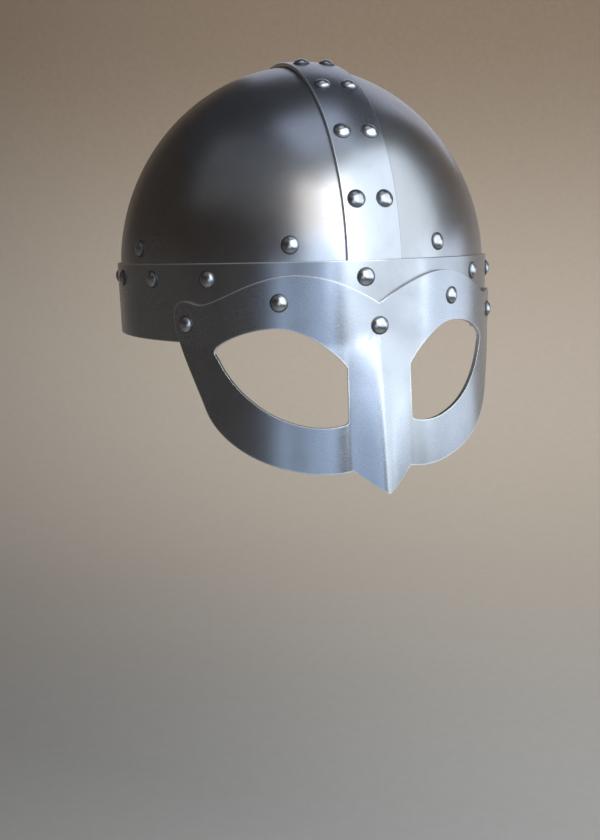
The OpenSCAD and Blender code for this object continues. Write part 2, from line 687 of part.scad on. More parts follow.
// The lace that draws the tongues together, with its knot at the back
module crown_thong() {
    knot_d = 2.2 * thong_d;
    knot_turn = 0.7 * (1 - tip_share) * 180 / tongue_count;
    color(thong_brown)
    translate([0, 0, hem_z])
    union() {
        rotate_extrude($fn = 2 * round_fn)
        translate([thong_ring_r, 0]) circle(d = thong_d, $fn = round_fn);
        rotate([0, 0, 90 - knot_turn / 2])
        rotate_extrude(angle = knot_turn, $fn = 2 * round_fn)
        translate([thong_ring_r, 0]) circle(d = knot_d, $fn = round_fn);
    }
}

dome_plate_left();
dome_plate_right();
crest_band();
brow_band();
spectacle_guard();
crest_rivets_left();
crest_rivets_right();
brow_rivets();
brow_joint_rivets();
guard_nose_rivet();
guard_brow_rivets();
guard_temple_rivets();
lining_rivets();
lining_burrs();
sweatband();
tongue_front_left();
tongue_temple_left();
tongue_ear_left();
tongue_back_left();
tongue_front_right();
tongue_temple_right();
tongue_ear_right();
tongue_back_right();
crown_thong();
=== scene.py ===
"""Looks of a riveted iron spectacle helmet with its laced leather lining.

Metres, in the model's own frame: the rim's plane is z = 0, the face looks along -Y and the
wearer's left is +X. Places are given as a distance s round the brow from the nose line, a
height z and an offset from the brow band's outer face, outwards positive.
"""

import math

import bmesh
import bpy
from mathutils import Matrix, Vector, noise


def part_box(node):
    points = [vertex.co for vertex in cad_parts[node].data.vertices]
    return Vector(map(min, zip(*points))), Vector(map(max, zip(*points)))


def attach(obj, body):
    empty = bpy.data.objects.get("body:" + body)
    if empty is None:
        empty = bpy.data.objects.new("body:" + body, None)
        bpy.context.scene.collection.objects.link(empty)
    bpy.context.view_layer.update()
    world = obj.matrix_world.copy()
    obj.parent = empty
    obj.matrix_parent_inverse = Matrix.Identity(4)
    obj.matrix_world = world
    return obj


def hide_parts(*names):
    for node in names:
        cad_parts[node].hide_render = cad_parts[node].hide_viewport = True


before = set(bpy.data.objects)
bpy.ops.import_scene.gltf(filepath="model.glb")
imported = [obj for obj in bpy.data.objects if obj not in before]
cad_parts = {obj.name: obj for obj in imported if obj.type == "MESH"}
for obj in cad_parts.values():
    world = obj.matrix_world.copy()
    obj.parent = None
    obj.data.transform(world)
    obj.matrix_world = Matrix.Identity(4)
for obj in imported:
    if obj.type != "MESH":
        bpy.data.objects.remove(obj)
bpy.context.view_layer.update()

mm = 0.001

# Iron: thicknesses, gaps and heights above the rim
PLATE_T = 1.6 * mm
BAND_T = 1.6 * mm
CREST_T = 2.0 * mm
GUARD_T = 2.0 * mm
LAP = 0.2 * mm
SEAM = 0.3 * mm
SKIRT_Z = 1.0 * mm
SPRING_Z = 33.0 * mm
BAND_H = 38.0 * mm
CREST_W = 27.0 * mm
CREST_GAUGE = 14.0 * mm
CREST_PITCH = 36.2 * mm
CREST_SHIFT = 3.2 * mm
CREST_COUNT = 9
JOINT_GAP = 0.6 * mm
BOWL_POWER = 1.95
END_R = 80.0 * mm

# Search along a slice of the bowl: a reach past its farthest point, and how often it is halved
SLICE_REACH = 300 * mm
SLICE_HALVINGS = 34

# The band and the guard step out over the crest band's ends
STEP_OUT = CREST_T + LAP
STEP_FROM = CREST_W / 2 + 2 * mm
STEP_RUN = 28.0 * mm

# Rivets
HEAD_D = 8.6 * mm
HEAD_H = 2.2 * mm
SHANK_D = 4.0 * mm
PEEN_D = 6.4 * mm
PEEN_H = 1.3 * mm
PEEN_GAP = 0.25 * mm

# Lining
LEATHER_T = 2.2 * mm
SOFT_GAP = 0.3 * mm
BURR_D = 10.0 * mm
BURR_T = 1.0 * mm
BURR_GAP = 0.4 * mm
LINING_Z = 45.5 * mm
SWEAT_LOW = 8.0 * mm
SWEAT_TOP = 39.0 * mm
TONGUE_LOW = 34.5 * mm
TONGUES = 4
CROWN_DROP = 30.0 * mm
RING_R = 24.0 * mm
THONG_D = 2.6 * mm
FOOT_SHARE = 0.97
TIP_SHARE = 0.66

# The plan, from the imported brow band: a small arc at each end and a large one at each side
brow_low, brow_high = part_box("brow_band")
HALF_W = brow_high[0]
HALF_L = -brow_low[1] - STEP_OUT
BOWL_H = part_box("dome_plate_left")[1][2] - SPRING_Z
END_C = HALF_L - END_R
SIDE_R = (HALF_W**2 + END_C**2 - END_R**2) / (2 * (HALF_W - END_R))
SIDE_C = SIDE_R - HALF_W
TURN = math.atan2(SIDE_C, END_C)
END_LEN = END_R * TURN
HALF_LEN = 2 * (END_LEN + SIDE_R * (math.pi / 2 - TURN))

# Offsets of the layers
PLATE_OUT = -(BAND_T + LAP)
PLATE_IN = PLATE_OUT - PLATE_T
CREST_OUT = PLATE_OUT + LAP + CREST_T
LINING_OUT = PLATE_IN - SOFT_GAP
LINING_IN = LINING_OUT - LEATHER_T
SWEAT_OUT = LINING_IN - SOFT_GAP
SWEAT_IN = SWEAT_OUT - LEATHER_T


def facing(s):
    """Direction that the plan's wall faces, in radians from the nose line."""
    u = abs(s)
    if u < END_LEN:
        turned = u / END_R
    elif u < HALF_LEN - END_LEN:
        turned = TURN + (u - END_LEN) / SIDE_R
    else:
        turned = math.pi - (HALF_LEN - u) / END_R
    return math.copysign(turned, s)


def plan(s, off):
    """Point of the plan at a distance s round the brow."""
    turned = facing(s)
    u = abs(turned)
    if u < TURN:
        return (END_R + off) * math.sin(turned), -END_C - (END_R + off) * math.cos(turned)
    if u < math.pi - TURN:
        x = (SIDE_R + off) * math.sin(u) - SIDE_C
        return math.copysign(x, turned), -(SIDE_R + off) * math.cos(turned)
    return (END_R + off) * math.sin(turned), END_C - (END_R + off) * math.cos(turned)


def dome_h(off):
    """Height of the dome of a layer above the straight wall."""
    return BOWL_H + off - PLATE_OUT


def dome_k(z, off):
    """Share to which the plan has shrunk at a height z."""
    if z <= SPRING_Z:
        return 1.0
    return max(0.0, 1 - ((z - SPRING_Z) / dome_h(off)) ** BOWL_POWER) ** (1 / BOWL_POWER)


def on_bowl(s, z, off):
    """Point of the bowl at a distance round the brow and a height."""
    x, y = plan(s, off)
    k = dome_k(z, off)
    return Vector((x * k, y * k, z))


def plan_share(x, y, off):
    """Share of the plan that passes through a point seen from above."""
    q = x * x + y * y
    r = END_R + off
    w = SIDE_R + off
    by_end = r * r - END_C**2
    by_side = w * w - SIDE_C**2
    end = (math.sqrt(y * y * END_C**2 + by_end * q) - abs(y) * END_C) / by_end
    side = (abs(x) * SIDE_C + math.sqrt(x * x * SIDE_C**2 + by_side * q)) / by_side
    past = abs(y) - end * END_C
    return end if past > 0 and abs(x) < past * math.tan(TURN) else side


def on_slice(x, angle, off):
    """Point of the bowl in the upright slice at x, at an angle above the front."""
    low, high = 0.0, SLICE_REACH
    for _ in range(SLICE_HALVINGS):
        reach = (low + high) / 2
        share = plan_share(x, reach * math.cos(angle), off)
        value = share**BOWL_POWER + (reach * math.sin(angle) / dome_h(off)) ** BOWL_POWER
        low, high = (low, reach) if value > 1 else (reach, high)
    return Vector((x, -reach * math.cos(angle), SPRING_Z + reach * math.sin(angle)))


def bowl_normal(p, off):
    """Outward direction of the bowl at a point of it."""
    def value(q):
        rise = max(q.z - SPRING_Z, 0.0) / dome_h(off)
        return plan_share(q.x, q.y, off) ** BOWL_POWER + rise**BOWL_POWER

    nudge = 0.05 * mm
    ways = [Vector(v) * nudge for v in ((1, 0, 0), (0, 1, 0), (0, 0, 1))]
    return Vector([value(p + v) - value(p - v) for v in ways]).normalized()


def ease(t):
    """Smooth rise from 0 to 1 as t goes from 0 to 1."""
    u = min(max(t, 0.0), 1.0)
    return u * u * (3 - 2 * u)


def step_at(s):
    """How far the band and the guard stand out over the crest band's ends."""
    u = min(abs(s), HALF_LEN - abs(s))
    return STEP_OUT * (1 - ease((u - STEP_FROM) / STEP_RUN))


def step_lean(s):
    """Angle by which the band turns back towards the nose line on its step."""
    nudge = 0.1 * mm
    return math.atan((step_at(s + nudge) - step_at(s - nudge)) / (2 * nudge))


def curve(q, t):
    """Point of a cubic curve with a start, two handles and an end."""
    u = 1 - t
    return q[0] * u**3 + q[1] * 3 * u * u * t + q[2] * 3 * u * t * t + q[3] * t**3


class Wire:
    """A shader socket in Python maths: each operator adds a Math node to its tree."""

    def __init__(self, tree, socket):
        self.tree = tree
        self.socket = socket

    def node(self, kind, settings, values, out=0):
        """Adds a node: its settings first, then the values or links of its sockets."""
        made = self.tree.nodes.new(kind)
        for name, value in settings.items():
            setattr(made, name, value)
        for key, value in values.items():
            if isinstance(value, Wire):
                self.tree.links.new(value.socket, made.inputs[key])
            else:
                made.inputs[key].default_value = value
        return Wire(self.tree, made.outputs[out])

    def math(self, operation, *values, clamp=False):
        settings = {"operation": operation, "use_clamp": clamp}
        return self.node("ShaderNodeMath", settings, dict(enumerate(values)))

    def __add__(self, other):
        return self.math("ADD", self, other)

    __radd__ = __add__

    def __sub__(self, other):
        return self.math("SUBTRACT", self, other)

    def __rsub__(self, other):
        return self.math("SUBTRACT", other, self)

    def __mul__(self, other):
        return self.math("MULTIPLY", self, other)

    def clamped(self):
        return self.math("ADD", self, 0.0, clamp=True)

    def between(self, low, high):
        """Smooth rise from 0 to 1 as the value goes from low to high."""
        values = {"Value": self, "From Min": low, "From Max": high}
        return self.node("ShaderNodeMapRange", {"interpolation_type": "SMOOTHSTEP"}, values)

    def blend(self, first, second):
        """Colour that goes from first to second as the value goes from 0 to 1.

        The node's sockets for colours are found by number, since their names aren't unique.
        """
        values = {0: self, 6: first, 7: second}
        return self.node("ShaderNodeMix", {"data_type": "RGBA"}, values, out=2)

    def noise(self, scale, detail, rough, bend=0.0):
        """Cloudy value from 0 to 1, this wire being its place."""
        values = {"Vector": self, "Scale": scale, "Detail": detail, "Roughness": rough}
        return self.node("ShaderNodeTexNoise", {}, {**values, "Distortion": bend})

    def cells(self, scale, feature="F1"):
        """Distance to the nearest of scattered points, this wire being its place."""
        values = {"Vector": self, "Scale": scale}
        return self.node("ShaderNodeTexVoronoi", {"feature": feature}, values)

    def axis(self, which):
        """One coordinate of this place, which is X, Y or Z."""
        return self.node("ShaderNodeSeparateXYZ", {}, {0: self}, out=which)

    def grained(self, turn, sizes):
        """This place, turned by degrees, in units of the sizes along the turned axes."""
        values = {"Vector": self, "Rotation": [math.radians(a) for a in turn], "Scale": sizes}
        return self.node("ShaderNodeMapping", {"vector_type": "TEXTURE"}, values)

    def streaks(self, turn, length, width, detail, rough):
        """Cloudy value drawn out along a direction of this chart, given in degrees."""
        return self.grained((0, 0, turn), (length, width, 1)).noise(1.0, detail, rough)

    def bump(self, strength, depth, below=None):
        """Normal of a surface with this height, times depth in metres, over another bump."""
        values = {"Height": self, "Strength": strength, "Distance": depth}
        if below is not None:
            values["Normal"] = below
        return self.node("ShaderNodeBump", {}, values)


class Finish:
    """A material: its shader's fixed values, the places that patterns read, and what varies."""

    def __init__(self, name, fixed):
        self.material = bpy.data.materials.new(name)
        self.material.use_nodes = True
        tree = self.material.node_tree
        self.shader = tree.nodes["Principled BSDF"]
        for key, value in fixed.items():
            self.shader.inputs[key].default_value = value
        start = Wire(tree, None)
        self.place = start.node("ShaderNodeTexCoord", {}, {}, out="Object")
        self.chart = start.node("ShaderNodeUVMap", {"uv_map": "chart"}, {})
        self.edge = start.node("ShaderNodeAttribute", {"attribute_name": "edge"}, {}, out="Fac")

    def vary(self, colour, roughness, normal):
        """Links what changes over the surface to the shader."""
        for key, wire in (("Base Color", colour), ("Roughness", roughness), ("Normal", normal)):
            wire.tree.links.new(wire.socket, self.shader.inputs[key])
        return self.material


def scaled(tone, share):
    """An opaque colour at a share of its brightness."""
    return (tone[0] * share, tone[1] * share, tone[2] * share, 1)


# Colours that any iron has where it is rubbed to the metal, scratched or soiled. The first also
# paints highlights on cut edges, and the last also paints shade round the rivets' feet
BARE_AND_HIGHLIGHT_IRON = (0.88, 0.86, 0.83, 1)
SCRATCHED_IRON = (0.66, 0.65, 0.64, 1)
FOOT_DIRT_AND_SHADE = (0.06, 0.06, 0.065, 1)


def scratches(chart, turn, length, width, least):
    """Sparse straight scratches along a direction of the chart, from 0 to 1."""
    fade = 0.06
    return chart.streaks(turn, length, width, detail=1.0, rough=0.4).between(least, least + fade)


def plate_iron(name, tone, tint, polish, sand_turn):
    """Sheet iron, sanded to satin, handled and given a light coat of oil.

    Its cut edges are lighter, partly rubbed to the metal and partly a painted highlight, but for
    those above the rim on the wearer's left, which keep the plain tone as a painted shadow line.
    """
    iron = Finish(name, {"Metallic": 1.0})
    clouds = iron.place.noise(scale=15.0, detail=4.0, rough=0.55, bend=0.6)
    drift = iron.place.noise(scale=42.0, detail=5.0, rough=0.62, bend=0.3)
    grain = iron.place.noise(scale=900.0, detail=3.0, rough=0.6)
    sand = iron.chart.streaks(sand_turn, 42 * mm, 0.8 * mm, detail=3.0, rough=0.6)
    cross = iron.chart.streaks(sand_turn + 62, 24 * mm, 1.1 * mm, detail=3.0, rough=0.6)
    marks = (
        scratches(iron.chart, sand_turn + 28, 26 * mm, 0.45 * mm, least=0.69)
        + scratches(iron.chart, sand_turn - 37, 17 * mm, 0.40 * mm, least=0.70)
        + scratches(iron.chart, sand_turn + 84, 34 * mm, 0.50 * mm, least=0.71)
    ).clamped()
    apart = iron.place.axis("X")
    height = iron.place.axis("Z")
    # Painted shadow line: on the wearer's left above the rim the cut edges keep the plain tone
    painted_shadow_side = apart.between(0.0, 8 * mm) * height.between(0.0, 6 * mm)
    # Cut edges lighter: partly rubbed to the metal, partly a painted highlight
    wear_dirt_and_light = iron.edge.between(0.7, 1.0) * (1 - painted_shadow_side * 0.9)
    hue = clouds.between(0.36, 0.66).blend(scaled(tone, 1), scaled(tint, 1))
    dull = (drift.between(0.5, 0.76) * 0.5).blend(hue, scaled(tone, 0.74))
    bright = (marks * 0.12).blend(dull, SCRATCHED_IRON)
    bare_and_highlit = (wear_dirt_and_light * 0.8).blend(bright, BARE_AND_HIGHLIGHT_IRON)
    rough = (
        polish + (clouds - 0.5) * 0.1 + (drift - 0.5) * 0.1 + (sand - 0.5) * 0.06
        + (grain - 0.5) * 0.03 + marks * 0.05 + wear_dirt_and_light * 0.16)
    waves = iron.place.noise(scale=24.0, detail=2.0, rough=0.4).bump(0.3, 1.1 * mm)
    relief = sand * 0.6 + cross * 0.3 + grain * 0.1 - marks * 0.1
    return iron.vary(bare_and_highlit, rough, relief.bump(0.04, 0.04 * mm, waves))


def rivet_iron(name, tone, polish):
    """Rivet heads, struck round and polished by handling, darker round the foot with dirt and a
    painted shade.
    """
    iron = Finish(name, {"Metallic": 1.0})
    clouds = iron.place.noise(scale=110.0, detail=4.0, rough=0.6)
    dents = iron.place.cells(420.0, "SMOOTH_F1")
    scored = iron.place.grained((20, 35, 10), (5 * mm, 0.4 * mm, 1.1 * mm))
    nicks = scored.noise(scale=1.0, detail=2.0, rough=0.5).between(0.64, 0.72)
    # Darker, rougher ring round the foot: dirt, and a painted shade for the dark rim at the head's
    # lower side
    foot = iron.edge.between(0.3, 0.95)
    shade = clouds.between(0.4, 0.7).blend(scaled(tone, 1), scaled(tone, 0.8))
    dirt_and_shade = (foot * 0.85).blend(shade, FOOT_DIRT_AND_SHADE)
    rough = polish + (clouds - 0.5) * 0.14 + foot * 0.25 + nicks * 0.1
    relief = dents * 0.8 - nicks * 0.25
    return iron.vary(dirt_and_shade, rough, relief.bump(0.15, 0.12 * mm))


def hide_leather(name, tone, dark, polish):
    """Oiled leather: pebbled grain, pores, creases and burnished edges."""
    hide = Finish(name, {"Specular IOR Level": 0.42})
    clouds = hide.place.noise(scale=28.0, detail=5.0, rough=0.6, bend=0.4)
    pebbles = hide.place.cells(900.0, "SMOOTH_F1")
    pores = hide.place.cells(2100.0).between(0.1, 0.22)
    drawn = hide.place.grained((12, 8, 30), (17 * mm, 2.4 * mm, 4 * mm))
    creases = drawn.noise(scale=1.0, detail=4.0, rough=0.6).between(0.52, 0.62)
    edge = hide.edge.between(0.3, 1.0)
    hue = clouds.between(0.3, 0.72).blend(scaled(tone, 1), scaled(dark, 1))
    deep = (pebbles.between(0.32, 0.75) * 0.45).blend(hue, scaled(dark, 0.5))
    rim = (edge * 0.75).blend(deep, scaled(dark, 0.35))
    rough = polish + (clouds - 0.5) * 0.22 + pebbles * 0.12 - edge * 0.12
    relief = pores * 0.3 + creases * 0.35 + clouds * 0.2 - pebbles * 0.7
    return hide.vary(rim, rough, relief.bump(0.55, 0.35 * mm))


def waxed_lace(name, tone, dark):
    """A round lace with its twist and wax."""
    lace = Finish(name, {"Specular IOR Level": 0.5})
    fibres = lace.chart.streaks(32, 4 * mm, 0.4 * mm, detail=3.0, rough=0.6)
    clouds = lace.place.noise(scale=150.0, detail=4.0, rough=0.6)
    hue = clouds.between(0.3, 0.7).blend(scaled(tone, 1), scaled(dark, 1))
    deep = (fibres.between(0.35, 0.7) * 0.5).blend(hue, scaled(dark, 0.45))
    rough = 0.42 + (fibres - 0.5) * 0.25 + (clouds - 0.5) * 0.1
    relief = fibres + clouds * 0.3
    return lace.vary(deep, rough, relief.bump(0.5, 0.2 * mm))


def linen_thread(name, tone, dark):
    """Waxed linen thread, its two plies twisted."""
    thread = Finish(name, {"Specular IOR Level": 0.3})
    twist = thread.place.grained((0, 40, 25), (1.1 * mm, 0.7 * mm, 0.4 * mm))
    plies = twist.noise(scale=1.0, detail=2.0, rough=0.5)
    soil = thread.place.noise(scale=120.0, detail=4.0, rough=0.6)
    hue = soil.between(0.35, 0.7).blend(scaled(tone, 1), scaled(dark, 1))
    deep = (plies.between(0.4, 0.65) * 0.5).blend(hue, scaled(dark, 0.4))
    rough = 0.55 + plies * 0.2
    return thread.vary(deep, rough, plies.bump(0.6, 0.15 * mm))


DOME_IRON = plate_iron(
    "dome_satin_iron", tone=(0.42, 0.42, 0.44), tint=(0.37, 0.36, 0.37), polish=0.295, sand_turn=8)
# The crest band's tone is lighter and bluer than the dome's: painted light, for the band catching more
# of the window and the blue sky
CREST_IRON = plate_iron(
    "crest_satin_iron", tone=(0.47, 0.475, 0.50), tint=(0.42, 0.42, 0.44), polish=0.285, sand_turn=90)
BROW_IRON = plate_iron(
    "brow_satin_iron", tone=(0.42, 0.42, 0.44), tint=(0.37, 0.365, 0.38), polish=0.295, sand_turn=0)
# The guard's tone is a little lighter and bluer than the brow band's: painted light, for its plate
# meeting the light at a slightly different tilt
GUARD_IRON = plate_iron(
    "guard_satin_iron", tone=(0.44, 0.445, 0.47), tint=(0.38, 0.38, 0.405), polish=0.285, sand_turn=12)
RIVET_IRON = rivet_iron("rivet_polished_iron", tone=(0.52, 0.52, 0.53), polish=0.26)
BURR_IRON = rivet_iron("burr_bright_iron", tone=(0.55, 0.54, 0.51), polish=0.30)
TONGUE_LEATHER = hide_leather(
    "tongue_oiled_leather", tone=(0.20, 0.098, 0.045), dark=(0.10, 0.045, 0.02), polish=0.5)
SWEAT_LEATHER = hide_leather(
    "sweatband_leather", tone=(0.25, 0.13, 0.065), dark=(0.13, 0.062, 0.03), polish=0.46)
LACE = waxed_lace("waxed_lace", tone=(0.085, 0.045, 0.022), dark=(0.04, 0.02, 0.01))
THREAD = linen_thread("linen_thread", tone=(0.55, 0.46, 0.32), dark=(0.32, 0.24, 0.15))

# Width over which a cut edge's wear fades, and on the iron plates its painted highlight, and the
# distance within which points are welded
WEAR_AND_LIGHT_W = 3 * mm
WELD = 0.02 * mm

# Bevel of a sheet's cut edges: its segments and the least angle that it takes
BEVEL_STEPS = 2
BEVEL_ANGLE = math.radians(50)

# Least angle at which an edge of a turned form stays sharp
SHARP_ANGLE = math.radians(48)


def crowd(t, pull):
    """A share of a grid's side, with its lines drawn towards both ends."""
    return t - pull / (2 * math.pi) * math.sin(2 * math.pi * t)


def lay_grid(bm, cols, rows, place, chart, edge, pull=(0.0, 0.0)):
    """Adds a flat grid and bends it to its place.

    The functions take the shares across and up, from 0 to 1. They give a point, its place on
    the unrolled sheet and its distance from the nearest cut edge.
    """
    uv = bm.loops.layers.uv.get("chart") or bm.loops.layers.uv.new("chart")
    wear_dirt_and_light = bm.verts.layers.float.get("edge") or bm.verts.layers.float.new("edge")
    half = 0.5
    made = bmesh.ops.create_grid(bm, x_segments=cols, y_segments=rows, size=half)["verts"]
    shares = {v: (crowd(v.co.x + half, pull[0]), crowd(v.co.y + half, pull[1])) for v in made}
    for face in {f for v in made for f in v.link_faces}:
        for loop in face.loops:
            loop[uv].uv = chart(*shares[loop.vert])
    for v, (across, up) in shares.items():
        v[wear_dirt_and_light] = max(0.0, 1 - edge(across, up) / WEAR_AND_LIGHT_W)
        v.co = place(across, up)


def weld(bm):
    bmesh.ops.remove_doubles(bm, verts=bm.verts, dist=WELD)


def piece(name, bm, finish, node=None):
    """A shaded object at the origin that rides on the helmet."""
    mesh = bpy.data.meshes.new(name)
    bm.to_mesh(mesh)
    bm.free()
    mesh.shade_smooth()
    mesh.materials.append(finish)
    made = bpy.data.objects.new(name, mesh)
    bpy.context.scene.collection.objects.link(made)
    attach(made, "root")
    if node:
        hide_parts(node)
    return made


def thicken(made, thickness, edge_r):
    """Gives a shell its wall, inwards, and takes the sharpness off its cut edges."""
    wall = made.modifiers.new("wall", "SOLIDIFY")
    wall.thickness = thickness
    wall.offset = -1
    wall.use_even_offset = True
    soft = made.modifiers.new("edges", "BEVEL")
    soft.width = edge_r
    soft.segments = BEVEL_STEPS
    soft.limit_method = "ANGLE"
    soft.angle_limit = BEVEL_ANGLE
    soft.harden_normals = True


# Curves of the spectacle guard: its outline and the left eye hole, each between a start, two
# handles and an end. Points are in millimetres along the brow from the nose line and above the
# rim, and those of the eye hole are shares of its width and height

GUARD_REACH = 101.5
RING_DEPTH = 60.7
NASAL_W = 30.0
EYE_W = 62.8
EYE_TOP = 7.5
EYE_DEPTH = 38.6
EYE_CLEAR = 1.2
EYE_CLEAR_GROWTH = 3.0
NOTCH = Vector((0, 18.5))
ARCH = Vector((38, 32))
DIP = Vector((GUARD_REACH - 16, ARCH.y - 13.4))
LOBE_TOP = Vector((GUARD_REACH - 6, ARCH.y - 11.7))
LOBE = Vector((GUARD_REACH, ARCH.y - 20))
CHEEK = Vector((GUARD_REACH - 18.5, -RING_DEPTH * 0.52))
RING_LOW = Vector((27, -RING_DEPTH))
CUSP = Vector((13.4, 1.4 - RING_DEPTH))
TIP = Vector((0, -69.8))

# How far the guard leans out for each unit below the rim
FLARE = 0.06

# The nasal's crease: where it starts and where it has its full height, the height, its half
# width, the rounding of its ridge, and the powers of its rise and of its hollow sides
CREASE_TOP = 2.5 * mm
CREASE_LOW = -70 * mm
CREASE_H = 6.5 * mm
CREASE_W = 13.0 * mm
CREASE_ROUND = 2.1 * mm
CREASE_RISE = 0.55
CREASE_HOLLOW = 1.4


def bent(start, first, last, end):
    """A curve whose handles are given as offsets from its two ends."""
    return start, start + Vector(first), end + Vector(last), end


OUTLINE = [
    bent(NOTCH, (11, 7.5), (-14, 0), ARCH),
    bent(ARCH, (19, 0), (-9.5, 0), DIP),
    bent(DIP, (3.5, 0), (-4, 0), LOBE_TOP),
    bent(LOBE_TOP, (3.4, 0), (0, 4.8), LOBE),
    bent(LOBE, (0, -10), (7, 16), CHEEK),
    bent(CHEEK, (-7.5, -16.5), (23, 0), RING_LOW),
    bent(RING_LOW, (-6, 0), (3.6, -0.9), CUSP),
    bent(CUSP, (-3.4, -2.2), (4, 2.5), TIP),
    bent(TIP, (NOTCH - TIP) / 3, (TIP - NOTCH) / 3, NOTCH)]
EYE = [
    ((0, 0.6), (0.06, 0.75), (0.28, 1), (0.505, 1)),
    ((0.505, 1), (0.68, 1), (0.87, 0.91), (0.973, 0.816)),
    ((0.973, 0.816), (0.99, 0.8), (1, 0.775), (1, 0.75)),
    ((1, 0.75), (1, 0.73), (0.984, 0.707), (0.968, 0.677)),
    ((0.968, 0.677), (0.912, 0.53), (0.805, 0.36), (0.667, 0.228)),
    ((0.667, 0.228), (0.53, 0.095), (0.363, 0), (0.188, 0)),
    ((0.188, 0), (0.124, 0), (0.061, 0.011), (0.025, 0.028)),
    ((0.025, 0.028), (0.01, 0.035), (0, 0.05), (0, 0.072)),
    ((0, 0.072), (0, 0.248), (0, 0.424), (0, 0.6))]

# Steps of the grid along each curve. The last curve runs along the nose line
CURVE_STEPS = [8, 9, 3, 5, 8, 11, 3, 4, 9]
LOOP_STEPS = sum(CURVE_STEPS)
NOSE_SHARE = 1 - CURVE_STEPS[-1] / LOOP_STEPS
ARCH_STEPS = 40


def round_loop(curves, share):
    """Point of a closed loop of curves. Each curve takes its own number of steps of the share."""
    left = share * LOOP_STEPS
    for q, steps in zip(curves, CURVE_STEPS):
        if left <= steps:
            return curve([Vector(p) for p in q], left / steps)
        left -= steps
    return Vector(curves[0][0])


def eye_point(share):
    """Point of the left eye hole's edge, in millimetres along the brow and above the rim."""
    p = round_loop(EYE, share)
    return Vector((NASAL_W / 2 + p.x * EYE_W, p.y * (EYE_TOP + EYE_DEPTH) - EYE_DEPTH))


def eye_arch():
    """Line above an eye hole down to which the band and the plates behind it are cut.

    It stands back from the hole, farther towards the temple, and takes in the first three
    curves of the hole but for the start of the first.
    """
    start = 0.3 * CURVE_STEPS[0]
    top = CURVE_STEPS[0]
    corner = top + CURVE_STEPS[1]
    end = corner + CURVE_STEPS[2]
    nudge = 0.05
    line = []
    for i in range(ARCH_STEPS + 1):
        at = start + (end - start) * i / ARCH_STEPS
        here = eye_point(at / LOOP_STEPS)
        along = (here - eye_point((at - nudge) / LOOP_STEPS)).normalized()
        growth = min(max((at - top) / (corner - top), 0), 1)
        clear = EYE_CLEAR * (1 + (EYE_CLEAR_GROWTH - 1) * growth)
        line.append((here + clear * Vector((-along.y, along.x))) * mm)
    return line


ARCH_LINE = eye_arch()


def rim_at(s, low):
    """Height of the lower edge at a distance round the brow, low where no eye hole is near."""
    for a, b in zip(ARCH_LINE, ARCH_LINE[1:]):
        if a.x <= abs(s) <= b.x:
            return max(low, a.y + (b.y - a.y) * (abs(s) - a.x) / (b.x - a.x))
    return low


# Bowl and bands


def dome_plate(name, side):
    """Half of the bowl, raised from one plate, from the nose line round to the nape."""
    cols = 132
    rows = 60
    wall_share = 6 / rows
    arc = 200 * mm

    def spot(across, up):
        s = across * HALF_LEN if side > 0 else (across - 1) * HALF_LEN
        if up < wall_share:
            low = rim_at(s, SKIRT_Z)
            z = low + (SPRING_Z - low) * up / wall_share
            k = 1.0
        else:
            angle = math.pi / 2 * (up - wall_share) / (1 - wall_share)
            c = max(math.cos(angle), 0.0)
            r = (c**BOWL_POWER + math.sin(angle) ** BOWL_POWER) ** (-1 / BOWL_POWER)
            z = SPRING_Z + dome_h(PLATE_OUT) * r * math.sin(angle)
            k = r * c
        x, y = plan(s, PLATE_OUT)
        return Vector((side * max(side * x * k, SEAM / 2), y * k, z))

    bm = bmesh.new()
    lay_grid(
        bm, cols, rows, spot,
        lambda across, up: (across * HALF_LEN, up * arc),
        lambda across, up: up * arc)
    weld(bm)
    made = piece(name + "_iron", bm, DOME_IRON, name)
    thicken(made, PLATE_T, edge_r=0.3 * mm)


def crest_band():
    """The strip over the top, from the brow to the nape, its ends behind the brow band."""
    cols = 16
    foot = 9
    bend = 190
    rows = bend + 2 * foot
    length = 420 * mm

    def spot(across, up):
        x = (across - 0.5) * CREST_W
        row = up * rows
        left = min(row, rows - row)
        if left < foot:
            end = on_slice(x, 0 if row < foot else math.pi, CREST_OUT)
            return Vector((end.x, end.y, SKIRT_Z + (SPRING_Z - SKIRT_Z) * left / foot))
        return on_slice(x, math.pi * (row - foot) / bend, CREST_OUT)

    bm = bmesh.new()
    lay_grid(
        bm, cols, rows, spot,
        lambda across, up: (across * CREST_W, up * length),
        lambda across, up: min(across, 1 - across) * CREST_W,
        pull=(0.75, 0.0))
    made = piece("crest_band_iron", bm, CREST_IRON, "crest_band")
    thicken(made, CREST_T, edge_r=0.4 * mm)


def brow_band():
    """The strip round the rim, stepped out over the crest band and butted at the nape."""
    cols = 480
    rows = 16
    reach = HALF_LEN - JOINT_GAP / 2

    def spot(across, up):
        s = (2 * across - 1) * reach
        x, y = plan(s, step_at(s))
        low = rim_at(s, 0.0)
        return Vector((x, y, low + up * (BAND_H - low)))

    bm = bmesh.new()
    lay_grid(
        bm, cols, rows, spot,
        lambda across, up: (across * 2 * reach, up * BAND_H),
        lambda across, up: min(min(up, 1 - up) * BAND_H, min(across, 1 - across) * 2 * reach),
        pull=(0.0, 0.8))
    made = piece("brow_band_iron", bm, BROW_IRON, "brow_band")
    thicken(made, BAND_T, edge_r=0.35 * mm)


# Spectacle guard


def on_guard(s, z):
    """Point of the guard's outer face."""
    lean = FLARE * max(0.0, -z)
    side = max(0.0, 1 - (math.hypot(s, CREASE_ROUND) - CREASE_ROUND) / CREASE_W)
    down = min(max((CREASE_TOP - z) / (CREASE_TOP - CREASE_LOW), 0.0), 1.0)
    crease = CREASE_H * down**CREASE_RISE * side**CREASE_HOLLOW
    x, y = plan(s, LAP + GUARD_T + step_at(s) + lean + crease)
    return Vector((x, y, z))


